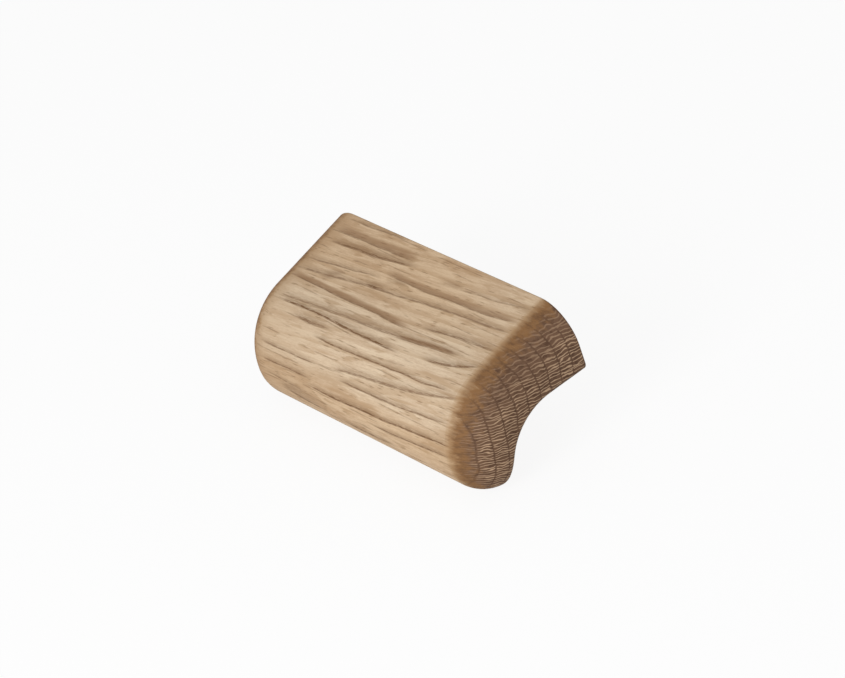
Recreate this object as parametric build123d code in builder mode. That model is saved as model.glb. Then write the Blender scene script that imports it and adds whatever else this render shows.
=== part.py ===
from build123d import *
from math import radians, tan
import os

# Solid oak finger pull for a cabinet door or drawer front, in millimetres.
# X runs along the pull, Y = 0 is the mounting plane with +Y into the door, and Z is up.
# The origin is on the mounting face, halfway between the two fixing screws.

# Outer block
length = 64.0  # over the two rounded ends
projection = 26.0  # mounting plane to the lower front corner, before rounding
height = 23.9  # top back edge down to the lower front corner, before rounding
face_height = 11.9  # flat mounting face, from the top edge to the cove
screw_drop = 6.6  # line of the screws below the top edge
top_fall = 14.5  # degrees, the top falls towards the front
front_lean = 2.0  # degrees, the front leans out towards its foot
lip_fall = 1.0  # degrees, the underside falls towards the back
brow_radius = 13.0  # between the top and the front
lip_radius = 7.2  # between the front and the underside
end_radius = 6.9  # round-over along the outer edge of both ends

# Finger cove, which runs the whole length
lip_wall = 7.7  # front of the block to the back of the lip
cove_radius = 10.5  # between the flat crown of the cove and the back of the lip

# Sanded edges
lip_ease = 1.2  # where the cove meets the lip
rim_ease = 0.3  # around the mounting face and the ends of the cove

# Fixing: two M4 brass inserts pressed into blind holes in the mounting face
hole_spacing = 32.0
insert_radius = 2.75
insert_length = 8.0
insert_inset = 0.3  # mouth of the insert below the mounting face
insert_fit = 0.02  # radial gap between the insert and its hole
thread_radius = 1.65  # bore at the thread's minor diameter
mouth_chamfer = 0.35
collar_length = 1.6  # plain ring at the insert's mouth
barb_count = 3
barb_pitch = 1.6
barb_depth = 0.35
slot_width = 0.9
slot_depth = 1.0
tip_radius = 2.1  # room for the screw tip past the insert
tip_length = 1.8

# Limits that keep a rounding inside the material it rounds
rounding_share = 0.97  # most of a flat or a neighbouring radius that a rounding may use
touching = 0.01  # distances below this count as touching

# Outline of the block, measured out from the mounting plane and down from the top edge
top_slope = tan(radians(top_fall))
front_slope = tan(radians(front_lean))
brow_out = (projection - height * front_slope) / (1 - front_slope * top_slope)
brow_down = brow_out * top_slope
heel_down = height + projection * tan(radians(lip_fall))
top_z = screw_drop
crown_z = top_z - face_height

# The brow takes what the front face has left above the lip, and the ends stay below the lip radius
brow_bend = tan(radians(90 - top_fall - front_lean) / 2)
lip_bend = tan(radians(90 + front_lean - lip_fall) / 2)
front_left = (height - brow_down) - lip_radius * lip_bend
brow_round = min(brow_radius, rounding_share * front_left / brow_bend)
end_round = min(end_radius, rounding_share * lip_radius)

# Cove: a flat crown square to the mounting face, then an arc down to the back of the lip
cove_reach = projection - lip_wall
cove_round = min(cove_radius, rounding_share * cove_reach)
cove_depth = height  # cuts well past the underside
past_end = length  # and past both ends and the mounting plane

# Oak body
with BuildPart() as pull_body:
    with BuildSketch(Plane.YZ):
        with BuildLine():
            outside = FilletPolyline(
                (0, top_z),
                (-brow_out, top_z - brow_down),
                (-projection, top_z - height),
                (0, top_z - heel_down),
                radius=[brow_round, lip_radius],
            )
            Line(outside @ 1, outside @ 0)
        make_face()
    extrude(amount=length / 2, both=True)

    # The ends are rounded over along the top, front and underside, and stay square at the back
    ends = pull_body.faces().filter_by(Axis.X)
    fillet(ends.edges().filter_by(lambda edge: edge.center().Y < -touching), end_round)

    with BuildSketch(Plane.YZ):
        with BuildLine():
            hollow = FilletPolyline(
                (past_end, crown_z),
                (-cove_reach, crown_z),
                (-cove_reach, crown_z - cove_depth),
                radius=cove_round,
            )
            Polyline(hollow @ 1, (past_end, crown_z - cove_depth), hollow @ 0)
        make_face()
    extrude(amount=past_end, both=True, mode=Mode.SUBTRACT)

    # Sanded edges: the lip first, then the rim of the mounting face and the ends of the cove
    lip_back = pull_body.edges().filter_by(Axis.X).filter_by(
        lambda edge: abs(edge.center().Y + cove_reach) < touching
    )
    lip_turns = pull_body.edges().filter_by(GeomType.BSPLINE)
    fillet(lip_turns + lip_back.sort_by(Axis.Z)[:1], lip_ease)

    mounting_face = pull_body.faces().filter_by(Axis.Y).sort_by(Axis.Y)[-1]
    crown_ends = pull_body.edges().filter_by(Axis.Y).filter_by(
        lambda edge: abs(edge.center().Z - crown_z) < touching
    )
    cove_ends = pull_body.edges().filter_by(GeomType.CIRCLE).filter_by(
        lambda edge: abs(edge.radius - cove_round) < touching
    )
    fillet(mounting_face.edges() + crown_ends + cove_ends, rim_ease)

    # Stepped holes for the inserts, with room for the screw tips behind them
    insert_end = insert_inset + insert_length
    with BuildSketch(Plane.XZ):
        with GridLocations(hole_spacing, hole_spacing, 2, 1):
            Circle(insert_radius)
    extrude(amount=insert_end, mode=Mode.SUBTRACT)
    with BuildSketch(Plane.XZ.offset(insert_end)):
        with GridLocations(hole_spacing, hole_spacing, 2, 1):
            Circle(tip_radius)
    extrude(amount=tip_length, mode=Mode.SUBTRACT)

# Brass inserts: a collar, barbs that grip the oak, a tapped bore and a driving slot
crest = insert_radius - insert_fit
root = crest - barb_depth
half_profile = [
    (thread_radius + mouth_chamfer, -insert_inset),
    (crest - mouth_chamfer, -insert_inset),
    (crest, -insert_inset - mouth_chamfer),
    (crest, -insert_inset - collar_length),
]
for barb in range(barb_count):
    barb_start = -insert_inset - collar_length - (barb + 0.5) * barb_pitch
    half_profile.append((root, barb_start + barb_pitch / 2))
    half_profile.append((root, barb_start))
    half_profile.append((crest, barb_start))
half_profile += [
    (root, -insert_end + mouth_chamfer),
    (root - mouth_chamfer, -insert_end),
    (thread_radius + mouth_chamfer, -insert_end),
    (thread_radius, -insert_end + mouth_chamfer),
    (thread_radius, -insert_inset - mouth_chamfer),
]

inserts = {}
for side, centre_x in (("left", -hole_spacing / 2), ("right", hole_spacing / 2)):
    with BuildPart() as insert:
        with BuildSketch(Plane.XY):
            with BuildLine():
                Polyline(*[(centre_x + r, y) for r, y in half_profile], close=True)
            make_face()
        revolve(axis=Axis((centre_x, 0, 0), (0, 1, 0)))
        with BuildSketch(Plane.XZ.offset(insert_inset)):
            with Locations((centre_x, 0)):
                Rectangle(2 * insert_radius, slot_width)
        extrude(amount=slot_depth, mode=Mode.SUBTRACT)
    inserts[f"insert_{side}"] = insert.part

os.makedirs("parts", exist_ok=True)
pieces = {"pull_body": pull_body.part, **inserts}
for name, piece in pieces.items():
    piece.label = name
    export_step(piece, f"parts/{name}.step")
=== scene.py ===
"""The looks of a solid oak finger pull with two threaded brass inserts in its mounting face."""

import math

import bpy
from mathutils import Euler, Matrix, Vector


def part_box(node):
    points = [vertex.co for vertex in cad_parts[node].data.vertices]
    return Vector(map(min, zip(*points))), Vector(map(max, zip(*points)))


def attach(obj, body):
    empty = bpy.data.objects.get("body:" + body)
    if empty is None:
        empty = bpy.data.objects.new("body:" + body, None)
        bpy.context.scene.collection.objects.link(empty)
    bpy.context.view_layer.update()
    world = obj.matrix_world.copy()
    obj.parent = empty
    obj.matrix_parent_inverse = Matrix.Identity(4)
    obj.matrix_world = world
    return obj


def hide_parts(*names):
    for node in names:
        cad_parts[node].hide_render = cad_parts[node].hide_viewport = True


bl_info = {
    "name": "Oak finger pull",
    "version": (1, 0, 0),
    "blender": (4, 5, 0),
    "location": "3D View > Sidebar > Finger pull",
    "description": "Builds the finishes, the inserts and the stage of an oak finger pull",
    "category": "Object",
}

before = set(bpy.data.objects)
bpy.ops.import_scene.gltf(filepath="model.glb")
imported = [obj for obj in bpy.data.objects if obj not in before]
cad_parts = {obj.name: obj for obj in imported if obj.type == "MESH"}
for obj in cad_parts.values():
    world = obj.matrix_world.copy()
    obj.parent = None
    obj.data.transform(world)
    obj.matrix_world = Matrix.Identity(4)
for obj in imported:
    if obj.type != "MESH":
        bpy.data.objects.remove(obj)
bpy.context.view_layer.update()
BODY = "pull_body"
INSERTS = ("insert_left", "insert_right")

MM = 0.001
PER_MM = 1000.0
FLOOR_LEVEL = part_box(BODY)[0].z

# Outline of the block, in millimetres and degrees, as in the part: p runs out from the door
# and q runs down from the sharp top edge of the mounting face
SCREW_DROP = 6.6
TOP_FALL = math.radians(14.5)
FRONT_LEAN = math.radians(2.0)
PROJECTION = 26.0
HEIGHT = 23.9
BROW_RADIUS = 13.0  # between the top and the front


# ---------------------------------------------------------------------------
# Material building
# ---------------------------------------------------------------------------


class Wire:
    """One output of a node. Arithmetic on it adds Math nodes to the same material."""

    def __init__(self, recipe, socket):
        self.recipe = recipe
        self.socket = socket

    def _math(self, operation, first, second):
        return self.recipe.node("ShaderNodeMath", {"operation": operation}, {0: first, 1: second})

    def __add__(self, other):
        return self._math("ADD", self, other)

    __radd__ = __add__

    def __mul__(self, other):
        return self._math("MULTIPLY", self, other)

    __rmul__ = __mul__

    def __sub__(self, other):
        return self._math("SUBTRACT", self, other)

    def __rsub__(self, other):
        return self._math("SUBTRACT", other, self)

    def __truediv__(self, other):
        return self._math("DIVIDE", self, other)

    def __abs__(self):
        return self._math("ABSOLUTE", self, 0.0)


class Recipe:
    """The nodes of a material or of the room, put together one by one."""

    def __init__(self, owner):
        self.owner = owner
        owner.use_nodes = True
        self.tree = owner.node_tree
        self.tree.nodes.clear()

    def node(self, kind, settings, values, output=0):
        """Add a node, set its settings, then its sockets, and return one of its outputs."""
        made = self.tree.nodes.new(kind)
        for name, value in settings.items():
            setattr(made, name, value)
        for name, value in values.items():
            if isinstance(value, Wire):
                self.tree.links.new(value.socket, made.inputs[name])
            else:
                made.inputs[name].default_value = value
        return Wire(self, made.outputs[output]) if made.outputs else made

    def maths(self, operation, first, second=0.0, third=0.0):
        return self.node(
            "ShaderNodeMath", {"operation": operation}, {0: first, 1: second, 2: third}
        )

    def fade(self, value, low, high):
        """0 below low and 1 above high, with a smooth step between; low may be above high."""
        return self.node(
            "ShaderNodeMapRange",
            {"interpolation_type": "SMOOTHSTEP"},
            {"Value": value, "From Min": low, "From Max": high},
        )

    def spread(self, value, low, high):
        """Turn 0 to 1 into low to high."""
        return self.maths("MULTIPLY_ADD", value, high - low, low)

    def blend(self, factor, first, second):
        """Mix two colours."""
        return self.node(
            "ShaderNodeMix", {"data_type": "RGBA"}, {0: factor, 6: first, 7: second}, output=2
        )

    def place(self, x, y, z):
        """Join three numbers into a vector."""
        return self.node("ShaderNodeCombineXYZ", {}, {"X": x, "Y": y, "Z": z})

    def noise(self, where, scale=1.0, detail=2.0, roughness=0.5):
        return self.node(
            "ShaderNodeTexNoise",
            {},
            {"Vector": where, "Scale": scale, "Detail": detail, "Roughness": roughness},
        )

    def cells(self, where):
        """Distance to the nearest of a scatter of points, and a random colour for that point."""
        sockets = {"Vector": where, "Scale": 1.0, "Randomness": 1.0}
        return [self.node("ShaderNodeTexVoronoi", {}, sockets, output) for output in range(2)]

    def coordinates(self, output):
        return self.node("ShaderNodeTexCoord", {}, {}, output)

    def split(self, vector):
        """The three parts of a vector."""
        return [self.node("ShaderNodeSeparateXYZ", {}, {0: vector}, part) for part in range(3)]

    def finish(self, shader):
        """Give the material its shader, and return the material."""
        self.node("ShaderNodeOutputMaterial", {}, {"Surface": shader})
        return self.owner


def rgba(colour):
    return (*colour[:3], 1.0)


# ---------------------------------------------------------------------------
# Oak
# ---------------------------------------------------------------------------

# Growth marks on the outside of the block. Each runs along the pull from one x to another, at
# three distances round the outside from the top back edge: at its start, its middle and its end.
# Then come its half thickness and its strength. All lengths are in millimetres.
BROAD_MARKS = (
    (-27, -3, 3.3, 3.2, 2.4, 0.80, 0.90),
    (-9, 27, 6.9, 6.9, 5.2, 0.60, 0.85),
    (-28, 7, 13.9, 14.1, 14.0, 0.60, 0.95),
    (3, 21, 16.6, 15.7, 15.1, 0.45, 0.90),
)
LINE_MARKS = (
    (-26, -8, 1.3, 0.9, 0.5, 0.22, 0.68),
    (-26, -2, 6.4, 5.6, 4.0, 0.32, 0.88),
    (7, 28, 5.0, 4.0, 2.6, 0.22, 0.58),
    (-28, -7, 10.7, 9.7, 8.6, 0.22, 0.68),
    (-28, 27, 13.0, 10.2, 8.0, 0.24, 0.73),
    (-13, -3, 11.1, 10.8, 10.2, 0.35, 1.00),
    (7, 28, 13.5, 12.6, 11.6, 0.27, 0.83),
    (12, 28, 17.9, 17.4, 14.2, 0.30, 0.93),
    (-27, 22, 19.0, 17.0, 14.9, 0.32, 0.68),
    (-26, 9, 19.6, 19.0, 18.9, 0.27, 1.00),
    (-21, -8, 21.1, 20.9, 20.3, 0.30, 0.88),
    (-14, 25, 22.4, 22.1, 20.9, 0.20, 0.88),
    (-7, 28, 26.2, 24.3, 21.2, 0.32, 0.73),
    (-27, -8, 26.9, 26.8, 26.4, 0.18, 0.78),
    (-5, 27, 27.6, 27.1, 25.6, 0.18, 0.83),
    (-27, -10, 30.0, 29.9, 29.6, 0.22, 0.83),
    (-14, 29, 31.0, 30.5, 29.3, 0.23, 1.00),
    (3, 28, 32.6, 32.2, 31.6, 0.20, 0.88),
    (-26, -12, 32.5, 32.8, 33.0, 0.18, 0.68),
    (-22, -7, 33.4, 33.9, 34.2, 0.27, 0.88),
    (-6, 11, 34.4, 34.5, 34.1, 0.30, 0.88),
)
MARK_TAPER = 5.0  # a growth mark fades in and out over this length
HALO_WIDTH = 5.5  # a line's faint edges reach this many times its half thickness
LINE_HALO = 0.58  # strength of those edges
STRAND_GAP = 1.7  # between the loose thin strands that run along the whole outside
STRAND_STRENGTH = 0.5
RAY_STRENGTH = 0.50
PORE_STRENGTH = 0.48
FOOT_HALF = 0.17  # half thickness of the line along the foot of a broad mark
FOOT_STRENGTH = 0.85
LEFT_END_PALER = 0.14  # how much further round the left end the dark end grain starts
TOP_END_DARKER = 0.10  # and how much sooner it starts at the top
GOLDEN_RIM = 0.11  # strength of the golden band just before the right end turns

# The tree's centre, measured from the top back edge, and its growth
PITH_OUT = 78.0
PITH_DOWN = 2.7
RING_WIDTH = 2.4
RING_SHIFT = 0.35
TOP_DRIFT = 0.068  # how far the grain drifts across the top in each millimetre of length
FRONT_DRIFT = 0.04

# Patterns drawn out along the grain: length and width, in millimetres
WAVE_SIZE = (22.0, 7.0)
RIPPLE_SIZE = (6.0, 2.0)
PATCH_SIZE = (6.0, 1.1)  # loose patches of pores
PORE_SIZE = (2.6, 0.24)
FIBRE_SIZE = (4.5, 0.30)
SPECKLE_SIZE = (0.7, 0.16)
BAND_SIZE = (20.0, 1.5)  # pale and tan bands
STRAND_PART_SIZE = (9.0, 1.3)  # the parts where the strands show
BREAK_SIZE = (1.5, 0.14)  # gaps in the thin lines
RAGGED_SIZE = (5.0, 0.9)  # the uneven start of the dark ends

# Rays, in millimetres along the grain and out from the tree's centre
RAY_LENGTH = 17.0
RAY_REACH = 34.0

SKIN_DEPTH = (6.8, 4.8)  # the marks of the top and the front fade out between these depths

# Pale threads and long rays of the end grain
END_THREAD_GAP = 1.05  # one in and out of a thread, measured round the tree
END_THREAD_WIDTH = 0.10  # as a share of the gap
LONG_RAY_GAP = 2.1

MATT_SHINE = 0.2  # the oil leaves hardly any shine
WOOD_IOR = 1.45


def brow_shape():
    """Where the brow starts round the outside, its centre in p and q, and how far it turns."""
    slope_top, slope_front = math.tan(TOP_FALL), math.tan(FRONT_LEAN)
    corner_out = (PROJECTION - HEIGHT * slope_front) / (1 - slope_top * slope_front)
    turn = math.pi / 2 - TOP_FALL - FRONT_LEAN
    brow_start = corner_out / math.cos(TOP_FALL) - BROW_RADIUS * math.tan(turn / 2)
    brow_centre = (
        brow_start * math.cos(TOP_FALL) - BROW_RADIUS * math.sin(TOP_FALL),
        brow_start * math.sin(TOP_FALL) + BROW_RADIUS * math.cos(TOP_FALL),
    )
    return brow_start, brow_centre, turn


class Timber:
    """The places in the block that the oak's figure is drawn from, in millimetres."""

    def __init__(self, oak):
        across, along_y, up = oak.split(oak.coordinates("Object"))
        self.oak = oak
        self.x = across * PER_MM
        self.p = along_y * -PER_MM
        self.q = SCREW_DROP - up * PER_MM
        self.facing = oak.split(oak.coordinates("Normal"))

        # The grain drifts a little across the block, and waves
        self.out = self.p + self.x * TOP_DRIFT
        self.down = self.q + self.x * FRONT_DRIFT
        self.wave = self.texture(*WAVE_SIZE, detail=1.0) - 0.5
        self.ripple = self.texture(*RIPPLE_SIZE, detail=1.0) - 0.5

    def stretched(self, length, width):
        """A place for a pattern that is drawn out along the grain."""
        oak = self.oak
        return oak.place(self.x / length, self.out / width, self.down / width)

    def texture(self, length, width, detail=3.0, roughness=0.5):
        """Noise drawn out along the grain."""
        return self.oak.noise(self.stretched(length, width), detail=detail, roughness=roughness)

    def around(self):
        """Distance round the outside from the top back edge."""
        oak = self.oak
        brow_start, (centre_p, centre_q), turn = brow_shape()
        sin_top, cos_top = math.sin(TOP_FALL), math.cos(TOP_FALL)
        down_top = self.p * cos_top + self.q * sin_top
        from_p, from_q = self.p - centre_p, self.q - centre_q
        along = from_p * cos_top + from_q * sin_top
        outward = from_p * sin_top - from_q * cos_top
        angle = oak.maths("ARCTAN2", along, outward)
        turned = oak.maths("MINIMUM", oak.maths("MAXIMUM", angle, 0.0), turn)
        below = oak.maths("MAXIMUM", from_q - BROW_RADIUS * math.sin(FRONT_LEAN), 0.0)
        return oak.maths("MINIMUM", down_top, brow_start) + turned * BROW_RADIUS + below

    def depth(self):
        """Distance in from the top and the front."""
        below_top = self.q * math.cos(TOP_FALL) - self.p * math.sin(TOP_FALL)
        behind_front = PROJECTION - self.p
        return self.oak.maths("MINIMUM", below_top, behind_front)

    def growth(self):
        """Distance from the tree's centre, and distance round it, in millimetres."""
        oak = self.oak
        out = PITH_OUT - self.out
        down = self.down - PITH_DOWN
        far = oak.maths("SQRT", out * out + down * down)
        rounded = oak.maths("ARCTAN2", down, out) * (PITH_OUT - PROJECTION / 2)
        return far, rounded


def mark(oak, x, around, numbers, halo):
    """One growth mark: a long thin curved patch, tapered at both ends, and its lower edge.

    The early wood starts sharply on the lower side and thins out on the upper side.
    """
    start, end, at_start, at_middle, at_end, half, strength = numbers
    middle = (start + end) / 2
    reach = (end - start) / 2
    bow = (at_start + at_end - 2 * at_middle) / (2 * reach**2)
    tilt = (at_end - at_start) / (2 * reach)
    local = x - middle
    line = oak.maths("MULTIPLY_ADD", local, bow, tilt)
    below = around - oak.maths("MULTIPLY_ADD", line, local, at_middle)
    taper = oak.fade(abs(local), reach, reach - MARK_TAPER) * strength
    foot = oak.fade(below, half * 1.1, half * 0.75)
    if halo:
        core = oak.fade(abs(below), half, half * 0.4)
        core = oak.maths("MAXIMUM", core, oak.fade(below, -half * HALO_WIDTH, 0.0) * foot * halo)
        return core * taper
    return oak.fade(below, -half * 1.2, -half * 0.2) * foot * taper


def foot_line(oak, x, around, numbers):
    """The thin dark line along the lower edge of a broad mark."""
    start, end, at_start, at_middle, at_end, half, strength = numbers
    moved = (start, end, at_start + half, at_middle + half, at_end + half, FOOT_HALF, strength)
    return mark(oak, x, around, moved, LINE_HALO)


def strongest(oak, masks):
    """The largest of several masks. Each is joined as soon as it is made, to save memory."""
    top = 0.0
    for mask in masks:
        top = oak.maths("MAXIMUM", mask, top)
    return top


def oak_material(settings):
    """Sanded oak: growth rings, pores, rays and the dark ends of the grain."""
    oak = Recipe(bpy.data.materials.new("oak"))
    block = Timber(oak)
    x = block.x
    depth = block.depth()
    skin = oak.fade(depth, *SKIN_DEPTH)  # the top and the front, without the cove
    waved = block.around() + block.wave * 1.2
    around = waved + block.ripple * 0.45

    # Growth rings: early wood starts sharply on the side of the tree's centre, then thins out
    far, rounded = block.growth()
    ring_place = (far + block.wave * 1.4 + block.ripple * 0.4) / RING_WIDTH + RING_SHIFT
    ring_turn = oak.maths("FRACT", ring_place)
    ring_number = oak.maths("FLOOR", ring_place)
    early = oak.fade(ring_turn, 0.55, 0.05) * oak.fade(ring_turn, 0.0, 0.05)

    # Pores: short tubes along the grain, crowded in the early wood and in loose patches
    patches = oak.fade(block.texture(*PATCH_SIZE, detail=2.0), 0.53, 0.66)
    crowded = oak.maths("MAXIMUM", early, patches)
    pore_near, pore_pick = oak.cells(block.stretched(*PORE_SIZE))
    pore_choice = oak.split(pore_pick)[0]
    kept = oak.maths("SUBTRACT", pore_choice, oak.spread(crowded, 0.86, 0.30))
    pores = oak.fade(pore_near, 0.42, 0.20) * oak.fade(kept, 0.0, 0.30)

    # Rays: thin sheets that run out from the tree's centre
    ray_place = oak.place(x / RAY_LENGTH, far / RAY_REACH, rounded + block.ripple * 0.5)
    ray_near, ray_pick = oak.cells(ray_place)
    rays = oak.fade(ray_near, 0.24, 0.04) * oak.fade(oak.split(ray_pick)[0], 0.2, 0.6)

    # Pale and tan bands with fine fibres in the sanded surface
    fibre = block.texture(*FIBRE_SIZE, detail=4.0, roughness=0.6)
    speckle = block.texture(*SPECKLE_SIZE, detail=2.0, roughness=0.6)
    bands = block.texture(*BAND_SIZE, detail=3.0, roughness=0.55)
    tone = fibre * 0.40 + bands * 0.38 + speckle * 0.22
    wood = oak.blend(
        oak.fade(tone, 0.39, 0.60), rgba(settings.light_colour), rgba(settings.mid_colour)
    )
    tan = strongest(oak, [early * 0.45, patches * 0.55, oak.fade(bands, 0.56, 0.70) * 0.6])
    # Painted shade: the front darker towards the left, and the left end's round edge darker still,
    # both in the early wood tone
    left_shade = oak.fade(x, -2.0, -28.0) * oak.fade(around, 15.0, 22.0) * 0.42
    tan = strongest(oak, [tan, left_shade, oak.fade(x, -21.0, -29.0) * 0.95])
    wood = oak.blend(tan, wood, rgba(settings.ring_and_shade_colour))
    # Painted shade: the top is tinted warmer and darker, standing in for the sheen that leaves the
    # front paler, and the low front, where it turns under, is darker too
    top_painted_shade = oak.fade(around, 19.0, 8.0) * oak.spread(oak.fade(x, 4.0, 24.0), 1.0, 0.35)
    painted_shade = oak.maths("MAXIMUM", top_painted_shade, oak.fade(around, 27.0, 31.0)) * skin
    shaded_wood = oak.node(
        "ShaderNodeVectorMath",
        {"operation": "MULTIPLY"},
        {0: wood, 1: tuple(settings.painted_shade_tint)},
    )
    wood = oak.blend(painted_shade, wood, shaded_wood)

    broad = strongest(oak, (mark(oak, x, around, numbers, 0.0) for numbers in BROAD_MARKS))
    broad = broad * skin * oak.spread(fibre, 0.65, 1.0)
    wood = oak.blend(broad, wood, rgba(settings.broad_colour))

    lines = strongest(oak, (mark(oak, x, around, numbers, LINE_HALO) for numbers in LINE_MARKS))
    feet = strongest(oak, (foot_line(oak, x, around, numbers) for numbers in BROAD_MARKS))
    strand_turn = oak.maths("FRACT", waved / STRAND_GAP)
    strand_parts = oak.fade(block.texture(*STRAND_PART_SIZE, detail=2.0), 0.49, 0.60)
    strands = oak.fade(abs(strand_turn - 0.5), 0.10, 0.02) * strand_parts
    lines = strongest(oak, [lines, feet * FOOT_STRENGTH, strands * STRAND_STRENGTH])
    breaks = oak.spread(oak.fade(block.texture(*BREAK_SIZE), 0.36, 0.54), 0.5, 1.0)
    lines = lines * skin * breaks
    marks = strongest(oak, [lines, rays * RAY_STRENGTH, pores * PORE_STRENGTH])
    wood = oak.blend(marks, wood, rgba(settings.line_colour))

    # End grain, where the surface cuts across the fibres
    ragged = block.texture(*RAGGED_SIZE, detail=4.0, roughness=0.65) - 0.5
    turned = abs(block.facing[0])
    early_start = oak.fade(around, 22.0, 12.0) * TOP_END_DARKER + ragged * 0.95
    late_start = oak.fade(x, 0.0, -12.0) * LEFT_END_PALER
    golden_rim = oak.fade(x + ragged * 7.0, 20.5, 27.0) * GOLDEN_RIM
    cut = turned - late_start + golden_rim + early_start * oak.fade(turned, 0.0, 0.40)
    amber_edge = oak.fade(cut, 0.0, 0.28)
    end_grain = oak.fade(cut, 0.12, 0.50)
    end_face = oak.fade(cut, 0.50, 0.90)

    # Its pale threads run side by side from ring to ring and join in loops; a few long rays cross
    thread_turn = rounded / END_THREAD_GAP + ring_number * 0.37 + block.ripple * 0.9
    weave = abs(oak.maths("FRACT", thread_turn) - 0.5)
    loop_place = oak.place(far / 1.5 + ring_number * 5.3, rounded / 0.7, x / 9.0)
    loops = weave + (oak.noise(loop_place, detail=1.0) - 0.5) * 0.5
    threads = oak.fade(abs(loops - 0.25), END_THREAD_WIDTH, END_THREAD_WIDTH * 0.35)
    seam = oak.fade(abs(ring_turn - 0.5), 0.40, 0.48)
    long_turn = rounded / LONG_RAY_GAP + block.wave * 0.5
    long_rays = oak.fade(abs(oak.maths("FRACT", long_turn) - 0.5), 0.045, 0.015)
    long_rays = long_rays * oak.fade(oak.noise(oak.place(far / 9.0, rounded / 2.0, 0.0)), 0.5, 0.6)
    blotch_place = oak.place(far / 1.2 + ring_number * 2.1, rounded / 0.7, x / 3.0)
    blotch = oak.noise(blotch_place, detail=4.0, roughness=0.65)

    ends = oak.blend(end_face, rgba(settings.turn_colour), rgba(settings.end_colour))
    ragged_seam = seam * oak.fade(blotch, 0.35, 0.6) * 0.85
    dark = strongest(oak, [ragged_seam, oak.fade(blotch, 0.44, 0.66) * 0.8])
    ends = oak.blend(dark * oak.spread(end_face, 0.55, 1.0), ends, rgba(settings.pore_colour))
    pale = strongest(oak, [threads * (1 - seam * 0.8) * 0.8, long_rays])
    inner = oak.fade(depth + block.ripple * 3.0 + oak.fade(around, 26.0, 34.0) * 2.2, 2.4, 6.4)
    pale = pale * oak.spread(end_face, 0.08, 0.95) * oak.spread(inner, 0.30, 1.0)
    ends = oak.blend(pale, ends, rgba(settings.ray_colour))
    amber = oak.blend(pores * 0.5, rgba(settings.amber_colour), rgba(settings.turn_colour))
    colour = oak.blend(amber_edge * 0.75, wood, amber)
    colour = oak.blend(end_grain, colour, ends)

    roughness = oak.spread(fibre, 0.52, 0.70) + pores * 0.10 + end_grain * 0.08
    relief = fibre * 0.2 - pores * 0.6 + (threads * 0.3 - seam * 0.6) * turned
    bump = oak.node(
        "ShaderNodeBump",
        {},
        {"Strength": 0.3, "Distance": settings.pore_depth, "Height": relief},
    )
    shader = oak.node(
        "ShaderNodeBsdfPrincipled",
        {},
        {
            "Base Color": colour,
            "Roughness": roughness,
            "Normal": bump,
            "IOR": WOOD_IOR,
            "Specular IOR Level": MATT_SHINE,
        },
    )
    return oak.finish(shader)


# ---------------------------------------------------------------------------
# Brass inserts
# ---------------------------------------------------------------------------

# Sizes of a turned insert, in millimetres. Distances along it are counted in from its mouth
CREST = 2.73  # outer radius, over the collar and the barbs
ROOT = 2.38  # outer radius between the barbs
INSERT_LENGTH = 8.0
COLLAR = 1.6  # length of the plain ring at the mouth
BARB_PITCH = 1.6
BARB_COUNT = 3
MOUTH_CHAMFER = 0.35
BORE_CHAMFER = 0.12
EDGE_ROUND = 0.06
SLOT_WIDTH = 0.9
SLOT_DEPTH = 1.0

# Its thread is a ridge of its own that winds down the bore
THREAD_OUTER = 2.0  # radius of the bore
THREAD_CREST = 1.66  # radius at the point of the ridge
THREAD_PITCH = 0.7
THREAD_FILL = 0.9  # how much of the pitch the foot of the thread takes
THREAD_BURY = 0.06  # how far the foot of the ridge goes into the wall of the bore
THREAD_TURNS = 9

# Fineness of the mesh
ROUND_STEPS = 72
THREAD_STEPS = 40
MERGE_DISTANCE = 0.001
SMOOTH_ANGLE = math.radians(32)  # edges that bend more than this are shaded sharp


def insert_outline():
    """The closed outline of an insert: down its outside, then back up its bore."""
    outline = [
        (0.0, THREAD_OUTER + BORE_CHAMFER),
        (0.0, CREST - MOUTH_CHAMFER),
        (EDGE_ROUND, CREST - MOUTH_CHAMFER + 2 * EDGE_ROUND),
        (MOUTH_CHAMFER - EDGE_ROUND, CREST - EDGE_ROUND),
        (MOUTH_CHAMFER + EDGE_ROUND, CREST),
        (COLLAR - EDGE_ROUND, CREST),
        (COLLAR, CREST - EDGE_ROUND),
    ]
    for barb in range(BARB_COUNT):
        lip = COLLAR + (barb + 0.5) * BARB_PITCH
        outline += [
            (lip - BARB_PITCH / 2 + EDGE_ROUND, ROOT),
            (lip - EDGE_ROUND, ROOT),
            (lip, CREST - EDGE_ROUND),
            (lip + EDGE_ROUND, CREST),
        ]
    outline += [
        (INSERT_LENGTH - MOUTH_CHAMFER, ROOT),
        (INSERT_LENGTH, ROOT - MOUTH_CHAMFER / 2),
        (INSERT_LENGTH, THREAD_OUTER + EDGE_ROUND),
        (INSERT_LENGTH - EDGE_ROUND, THREAD_OUTER),
        (BORE_CHAMFER, THREAD_OUTER),
    ]
    return outline


def deselect_all():
    """Leave nothing selected, in object mode."""
    if bpy.context.object and bpy.context.object.mode != "OBJECT":
        bpy.ops.object.mode_set(mode="OBJECT")
    bpy.ops.object.select_all(action="DESELECT")


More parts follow.
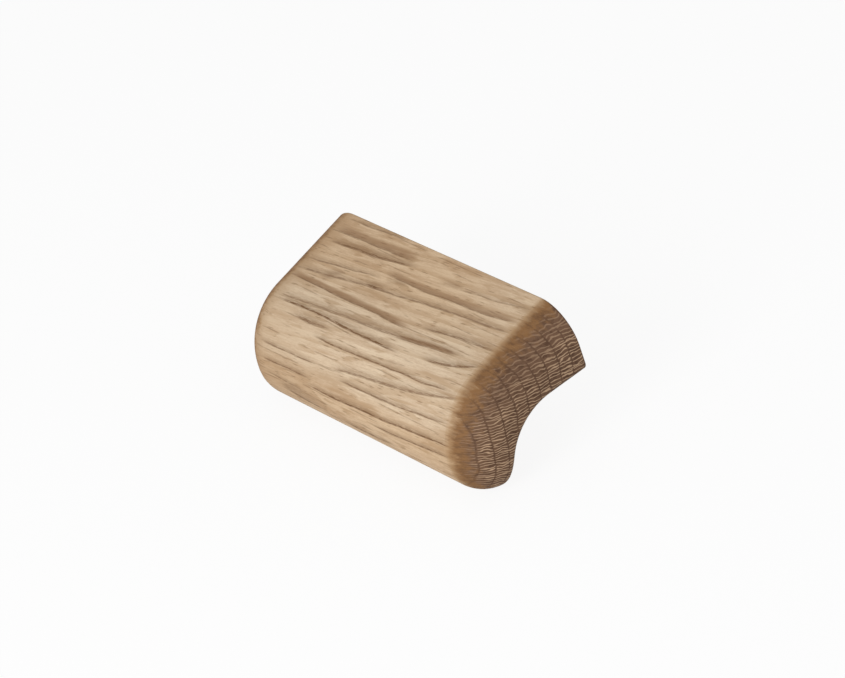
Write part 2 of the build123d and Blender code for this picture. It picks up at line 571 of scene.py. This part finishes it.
def turned_shell(name, centre):
    """Draw a ring out along the outline of the insert, and close it on itself."""
    outline = insert_outline()
    depth, radius = outline[0]
    deselect_all()
    bpy.ops.mesh.primitive_circle_add(
        vertices=ROUND_STEPS,
        radius=radius * MM,
        location=centre - Vector((0, depth * MM, 0)),
        rotation=(math.pi / 2, 0, 0),
    )
    shell = bpy.context.object
    shell.name = name
    bpy.ops.object.transform_apply(location=True, rotation=True, scale=True)
    bpy.ops.object.mode_set(mode="EDIT")
    bpy.ops.mesh.select_all(action="SELECT")
    for next_depth, next_radius in outline[1:] + outline[:1]:
        step = (depth - next_depth) * MM
        bpy.ops.mesh.extrude_region_move(TRANSFORM_OT_translate={"value": (0, step, 0)})
        bpy.ops.transform.resize(
            value=(next_radius / radius, 1, next_radius / radius), center_override=centre
        )
        # The sizing is about the insert's axis, and its middle is at the mouth of the insert
        depth, radius = next_depth, next_radius
    bpy.ops.mesh.select_all(action="SELECT")
    bpy.ops.mesh.remove_doubles(threshold=MERGE_DISTANCE * MM)
    bpy.ops.mesh.normals_make_consistent(inside=False)
    bpy.ops.object.mode_set(mode="OBJECT")
    return shell


def cut_slot(shell, centre):
    """Cut the driving slot across the mouth."""
    deselect_all()
    bpy.ops.mesh.primitive_cube_add(
        size=1.0,
        location=centre,
        scale=(3 * CREST * MM, 2 * SLOT_DEPTH * MM, SLOT_WIDTH * MM),
    )
    cutter = bpy.context.object
    deselect_all()
    shell.select_set(True)
    bpy.context.view_layer.objects.active = shell
    slot = shell.modifiers.new("slot", "BOOLEAN")
    slot.operation = "DIFFERENCE"
    slot.solver = "EXACT"
    slot.object = cutter
    bpy.ops.object.modifier_apply(modifier=slot.name)
    bpy.data.objects.remove(cutter)


def screw_thread(centre):
    """Sweep one ridge down the bore in a screw line, from below the slot."""
    deselect_all()
    bpy.ops.mesh.primitive_circle_add(vertices=3, radius=1.0)
    ridge = bpy.context.object
    height = THREAD_OUTER + THREAD_BURY - THREAD_CREST
    middle = THREAD_OUTER + THREAD_BURY - height / 3
    # The ridge's point faces the axis of the bore, and its base is buried in the wall
    profile = Matrix(
        (
            (0, -height * 2 / 3, 0, middle),
            (0, 0, 1, 0),
            (THREAD_PITCH * THREAD_FILL / math.sqrt(3), 0, 0, 0),
            (0, 0, 0, 1),
        )
    )
    ridge.data.transform(Matrix.Scale(MM, 4) @ profile)
    screw = ridge.modifiers.new("screw", "SCREW")
    screw.axis = "Z"
    screw.screw_offset = THREAD_PITCH * MM
    screw.iterations = THREAD_TURNS
    screw.steps = screw.render_steps = THREAD_STEPS
    screw.use_merge_vertices = False
    bpy.ops.object.modifier_apply(modifier=screw.name)
    bpy.ops.object.mode_set(mode="EDIT")
    bpy.ops.mesh.select_all(action="SELECT")
    bpy.ops.mesh.fill_holes(sides=3)
    bpy.ops.mesh.normals_make_consistent(inside=False)
    bpy.ops.object.mode_set(mode="OBJECT")
    start = centre - Vector((0, (SLOT_DEPTH + THREAD_PITCH / 4) * MM, 0))
    ridge.data.transform(Matrix.Translation(start) @ Matrix.Rotation(math.pi / 2, 4, "X"))
    return ridge


def make_insert(name, centre):
    """One insert: the turned shell with its slot, and the thread in its bore."""
    shell = turned_shell(name, centre)
    cut_slot(shell, centre)
    thread = screw_thread(centre)
    deselect_all()
    thread.select_set(True)
    shell.select_set(True)
    bpy.context.view_layer.objects.active = shell
    bpy.ops.object.join()
    bpy.ops.object.shade_smooth_by_angle(angle=SMOOTH_ANGLE)
    return shell


# ---------------------------------------------------------------------------
# Brass
# ---------------------------------------------------------------------------


FILM_SCALE = 900.0  # patches of film in each metre
RING_SCALE = 14000.0  # tool rings in each metre along the insert
RING_SPREAD = 300.0  # and across it, where they change slowly
TOOL_MARK_DEPTH = 0.02 * MM


def brass_material(settings):
    """Turned brass, with fine tool rings and a dull film in places."""
    brass = Recipe(bpy.data.materials.new("insert_brass"))
    place = brass.coordinates("Object")
    x, y, z = brass.split(place)
    film = brass.noise(place, scale=FILM_SCALE, detail=4.0)
    ring_place = brass.place(x * RING_SPREAD, y * RING_SCALE, z * RING_SPREAD)
    rings = brass.noise(ring_place, detail=2.0)
    colour = brass.blend(
        brass.fade(film, 0.42, 0.66), rgba(settings.brass_colour), rgba(settings.film_colour)
    )
    bump = brass.node(
        "ShaderNodeBump", {}, {"Strength": 0.3, "Distance": TOOL_MARK_DEPTH, "Height": rings}
    )
    shader = brass.node(
        "ShaderNodeBsdfPrincipled",
        {},
        {
            "Base Color": colour,
            "Metallic": 1.0,
            "Roughness": brass.spread(film, 0.26, 0.46),
            "Normal": bump,
        },
    )
    return brass.finish(shader)


# ---------------------------------------------------------------------------
# Settings
# ---------------------------------------------------------------------------


def colour_setting(name, description, default):
    return bpy.props.FloatVectorProperty(
        name=name, description=description, subtype="COLOR", size=3, min=0, max=1, default=default
    )


def length_setting(name, description, default):
    return bpy.props.FloatProperty(
        name=name, description=description, subtype="DISTANCE", unit="LENGTH", default=default
    )


def angle_setting(name, description, degrees):
    return bpy.props.FloatProperty(
        name=name,
        description=description,
        subtype="ANGLE",
        unit="ROTATION",
        default=math.radians(degrees),
    )


def power_setting(name, description, default):
    return bpy.props.FloatProperty(
        name=name, description=description, unit="POWER", default=default
    )


class OakSettings(bpy.types.PropertyGroup):
    light_colour: colour_setting("Light wood", "The palest wood of the block", (0.77, 0.61, 0.432))
    mid_colour: colour_setting("Mid wood", "Wood between the pale fibres", (0.62, 0.458, 0.308))
    # Painted shade: tint that darkens and warms the top and the low front against the lit front
    painted_shade_tint: colour_setting("Tint of the top", "Warmer tone of the top", (0.93, 0.865, 0.79))
    # Early wood tone, also used as painted shade at the left of the front and on the left end
    ring_and_shade_colour: colour_setting("Early wood", "Tone of the early wood", (0.47, 0.31, 0.175))
    broad_colour: colour_setting("Flecks", "Broad soft flecks", (0.345, 0.205, 0.108))
    line_colour: colour_setting("Lines", "Thin dark lines and pores", (0.178, 0.091, 0.040))
    amber_colour: colour_setting("Start of the turn", "Amber rim of the ends", (0.40, 0.235, 0.108))
    turn_colour: colour_setting("Turn of the end", "Wood on the round edge", (0.262, 0.134, 0.054))
    end_colour: colour_setting("End grain", "The flat of the ends", (0.175, 0.097, 0.057))
    ray_colour: colour_setting("Rays", "Pale ray lines in the end grain", (0.72, 0.49, 0.31))
    pore_colour: colour_setting("End pores", "Open pores of the end grain", (0.088, 0.043, 0.024))
    pore_depth: length_setting("Pore depth", "How deep the open pores look", 0.12 * MM)


class InsertSettings(bpy.types.PropertyGroup):
    brass_colour: colour_setting("Brass", "Clean turned brass", (0.83, 0.62, 0.30))
    film_colour: colour_setting("Film", "Brass with a dull film", (0.60, 0.42, 0.20))


class StageSettings(bpy.types.PropertyGroup):
    azimuth: angle_setting("Azimuth", "Side that the camera looks from, 0 being the front", 61.985)
    elevation: angle_setting(
        "Elevation", "How far above the level of the pull the camera is", 31.932
    )
    roll: angle_setting("Roll", "Turn of the camera about its line of sight", -19.573)
    distance: length_setting("Distance", "From the camera to the point it aims at", 0.7227)
    aim: bpy.props.FloatVectorProperty(
        name="Aim",
        description="Point in the middle of the view",
        subtype="TRANSLATION",
        unit="LENGTH",
        size=3,
        default=(0.00183, -0.01011, -0.00333),
    )
    lens: bpy.props.FloatProperty(
        name="Lens", description="Focal length in millimetres", unit="CAMERA", default=190.035
    )
    ambient: bpy.props.FloatProperty(
        name="Ambient", description="Even light from all round", default=0.5, min=0
    )
    key_power: power_setting("Main lamp", "Power of the main lamp", 1.35)
    fill_power: power_setting("Fill lamp", "Power of the fill lamp", 0.15)
    shadow: bpy.props.FloatProperty(
        name="Shadow", description="How dark the shadow on the floor is", default=0.1, min=0, max=1
    )


# ---------------------------------------------------------------------------
# Steps
# ---------------------------------------------------------------------------


def give_material(obj, material):
    """Put one material in every slot of a piece."""
    if not obj.data.materials:
        obj.data.materials.append(material)
    for index in range(len(obj.data.materials)):
        obj.data.materials[index] = material


class PULL_OT_oak_body(bpy.types.Operator):
    """Give the solid oak block its grain, rings, pores and dark ends"""

    bl_idname = "finger_pull.oak_body"
    bl_label = "Oak body"

    def execute(self, context):
        give_material(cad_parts[BODY], oak_material(context.scene.pull_oak))
        return {"FINISHED"}


class PULL_OT_inserts(bpy.types.Operator):
    """Turn, slot and thread the two brass inserts"""

    bl_idname = "finger_pull.inserts"
    bl_label = "Brass inserts"

    def execute(self, context):
        brass = brass_material(context.scene.pull_insert)
        mouths = [self.mouth(node) for node in INSERTS]
        first = make_insert("threaded_" + INSERTS[0], mouths[0])
        second = first.copy()
        second.data = first.data.copy()
        second.name = "threaded_" + INSERTS[1]
        context.scene.collection.objects.link(second)
        second.data.transform(Matrix.Translation(mouths[1] - mouths[0]))
        for piece, node in zip((first, second), INSERTS):
            give_material(piece, brass)
            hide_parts(node)
            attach(piece, "root")
        return {"FINISHED"}

    @staticmethod
    def mouth(node):
        """Middle of the insert's face nearest the door."""
        low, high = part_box(node)
        middle = (low + high) / 2
        return Vector((middle.x, high.y, middle.z))


# Azimuth, elevation and size of the lamps
KEY_LAMP = (math.radians(17), math.radians(28), 0.3)
FILL_LAMP = (math.radians(95), math.radians(25), 0.4)
LAMP_DISTANCE = 0.5
SENSOR_WIDTH = 36.0  # of the camera, in millimetres, which its focal length goes with
FLOOR_SIZE = 4.0
FLOOR_GREY = (0.65, 0.65, 0.65, 1.0)  # what the floor throws back on to the pull
WHITE = (1.0, 1.0, 1.0, 1.0)


def facing(aim, azimuth, elevation, distance, roll=0.0):
    """Where something stands, and how it is turned, to face the aim point."""
    turn = Euler((math.pi / 2 - elevation, 0, azimuth)).to_matrix()
    turn = turn @ Matrix.Rotation(roll, 3, "Z")
    return Matrix.Translation(aim + turn @ Vector((0, 0, distance))) @ turn.to_4x4()


def add_lamp(name, aim, azimuth, elevation, size, power):
    """A square soft lamp that faces the aim point."""
    data = bpy.data.lights.new(name, "AREA")
    data.shape = "SQUARE"
    data.size = size
    data.energy = power
    lamp = bpy.data.objects.new(name, data)
    lamp.matrix_world = facing(aim, azimuth, elevation, LAMP_DISTANCE)
    bpy.context.scene.collection.objects.link(lamp)


class PULL_OT_stage(bpy.types.Operator):
    """Set up the floor, the soft light and the camera"""

    bl_idname = "finger_pull.stage"
    bl_label = "Stage"

    def execute(self, context):
        stage = context.scene.pull_stage
        aim = Vector(stage.aim)
        self.add_floor(stage)
        self.light_room(stage)
        add_lamp("key", aim, *KEY_LAMP, stage.key_power)
        add_lamp("fill", aim, *FILL_LAMP, stage.fill_power)
        self.add_camera(stage, aim)
        context.scene.view_settings.view_transform = "Standard"
        return {"FINISHED"}

    def add_floor(self, stage):
        deselect_all()
        bpy.ops.mesh.primitive_plane_add(size=FLOOR_SIZE, location=(0, 0, FLOOR_LEVEL))
        floor = bpy.context.active_object
        floor.name = "floor"
        bpy.ops.object.transform_apply(location=True, rotation=True, scale=True)
        paint = Recipe(bpy.data.materials.new("floor_paint"))
        seen = self.seen_directly(paint)
        matt = paint.node("ShaderNodeBsdfDiffuse", {}, {"Color": FLOOR_GREY})
        bright = paint.node("ShaderNodeEmission", {}, {"Color": WHITE, "Strength": 1.0})
        shaded = paint.node("ShaderNodeBsdfDiffuse", {}, {"Color": WHITE})
        white = paint.node("ShaderNodeMixShader", {}, {0: stage.shadow, 1: bright, 2: shaded})
        paper = paint.node("ShaderNodeMixShader", {}, {0: seen, 1: matt, 2: white})
        give_material(floor, paint.finish(paper))

    @staticmethod
    def seen_directly(paint):
        """1 for what the camera sees, straight or in a reflection."""
        rays = [
            paint.node("ShaderNodeLightPath", {}, {}, name)
            for name in ("Is Camera Ray", "Is Glossy Ray", "Is Transmission Ray")
        ]
        return strongest(paint, rays)

    def light_room(self, stage):
        world = bpy.data.worlds.new("room")
        bpy.context.scene.world = world
        room = Recipe(world)
        seen = self.seen_directly(room)
        strength = seen * (1 - stage.ambient) + stage.ambient
        light = room.node("ShaderNodeBackground", {}, {"Color": WHITE, "Strength": strength})
        room.node("ShaderNodeOutputWorld", {}, {"Surface": light})

    @staticmethod
    def add_camera(stage, aim):
        data = bpy.data.cameras.new("camera")
        data.lens = stage.lens
        data.sensor_width = SENSOR_WIDTH
        camera = bpy.data.objects.new("camera", data)
        camera.matrix_world = facing(
            aim, stage.azimuth, stage.elevation, stage.distance, stage.roll
        )
        bpy.context.scene.collection.objects.link(camera)
        bpy.context.scene.camera = camera


class PULL_PT_steps(bpy.types.Panel):
    """The steps that build the finger pull"""

    bl_idname = "PULL_PT_steps"
    bl_label = "Finger pull"
    bl_space_type = "VIEW_3D"
    bl_region_type = "UI"
    bl_category = "Finger pull"

    def draw(self, context):
        for step in STEPS:
            self.layout.operator(step.bl_idname)


STEPS = (PULL_OT_oak_body, PULL_OT_inserts, PULL_OT_stage)
SETTINGS = {
    "pull_oak": OakSettings,
    "pull_insert": InsertSettings,
    "pull_stage": StageSettings,
}


def register():
    for group in (*SETTINGS.values(), *STEPS, PULL_PT_steps):
        bpy.utils.register_class(group)
    for name, group in SETTINGS.items():
        setattr(bpy.types.Scene, name, bpy.props.PointerProperty(type=group))


def unregister():
    for name in SETTINGS:
        delattr(bpy.types.Scene, name)
    for group in (PULL_PT_steps, *STEPS, *SETTINGS.values()):
        bpy.utils.unregister_class(group)


def main():
    """Run every step in order."""
    register()
    bpy.ops.finger_pull.oak_body()
    bpy.ops.finger_pull.inserts()
    bpy.ops.finger_pull.stage()


if __name__ == "__main__":
    main()
